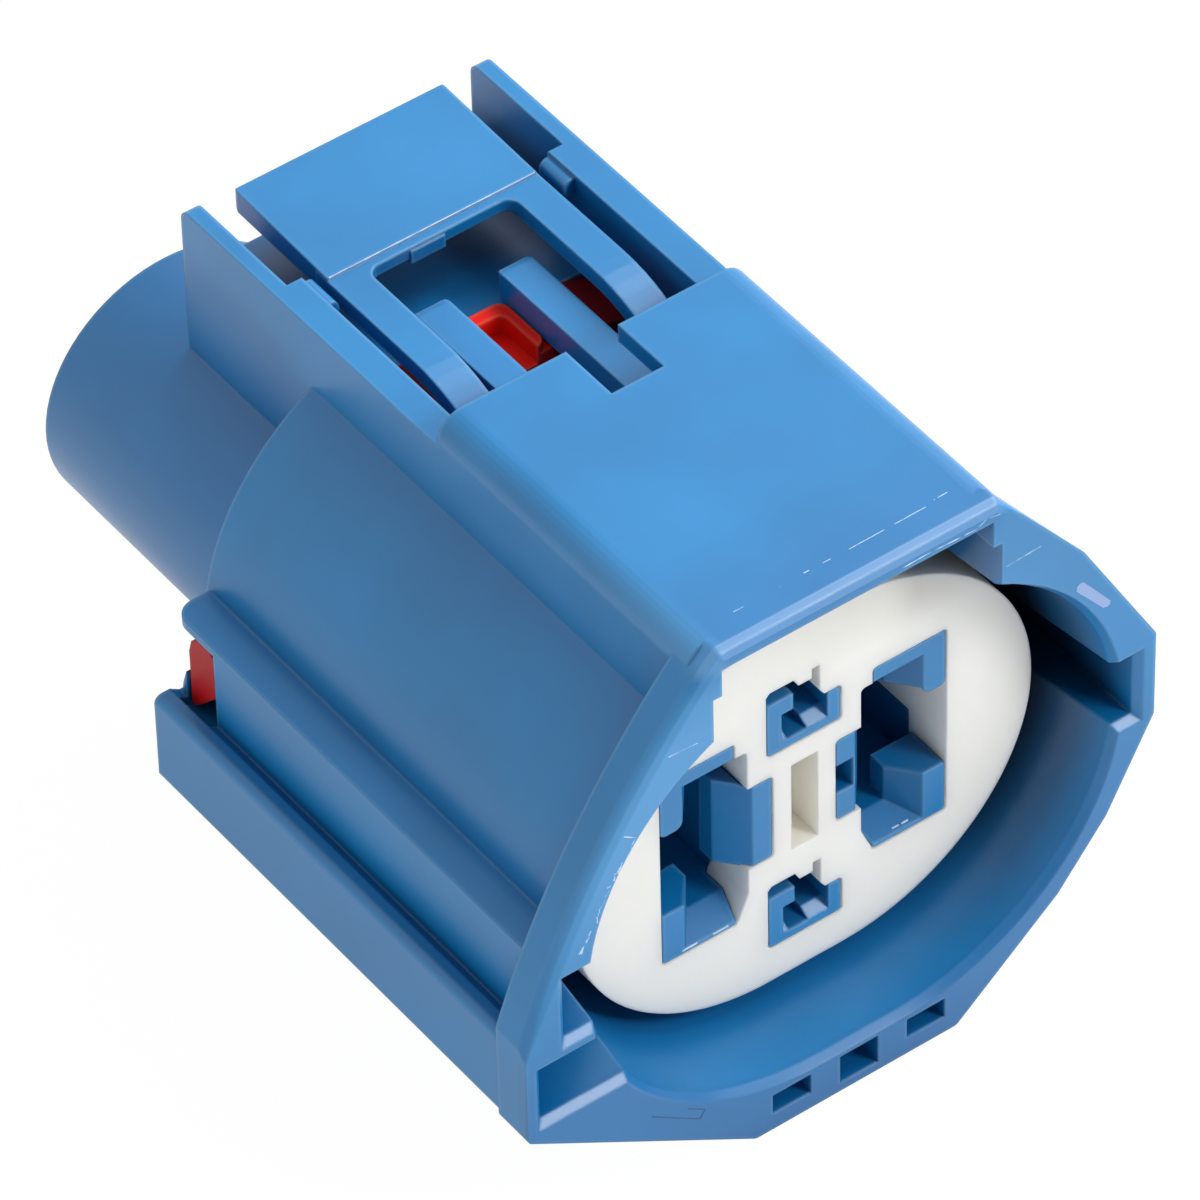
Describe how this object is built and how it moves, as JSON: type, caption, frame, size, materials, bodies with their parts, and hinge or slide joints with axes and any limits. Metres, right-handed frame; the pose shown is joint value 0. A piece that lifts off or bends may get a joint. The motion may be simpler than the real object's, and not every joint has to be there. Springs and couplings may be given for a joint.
{
  "type": "connector housing",
  "caption": "Sealed cable connector housing: keyed oval socket with a flange, terminal retainer, thumb latch between guard walls, slide-in lock and round cable sleeves.",
  "frame": {"origin": "on the mating axis, in the plane of the socket's rim", "axes": "+Y from the rim towards the cable sleeves, +X to the right seen from the mating side, +Z towards the latch"},
  "size_m": [0.0405, 0.051, 0.0366],
  "materials": {
    "blue_plastic": "satin moulded glass-filled polyester, blue",
    "white_plastic": "satin moulded polyester, natural white",
    "red_plastic": "moulded polyester, red",
    "silicone": "oily silicone rubber, grey"
  },
  "bodies": {
    "root": {"housing": "blue_plastic", "front_retainer": "white_plastic", "secondary_lock": "red_plastic", "interface_seal": "silicone"}
  },
  "joints": []
}
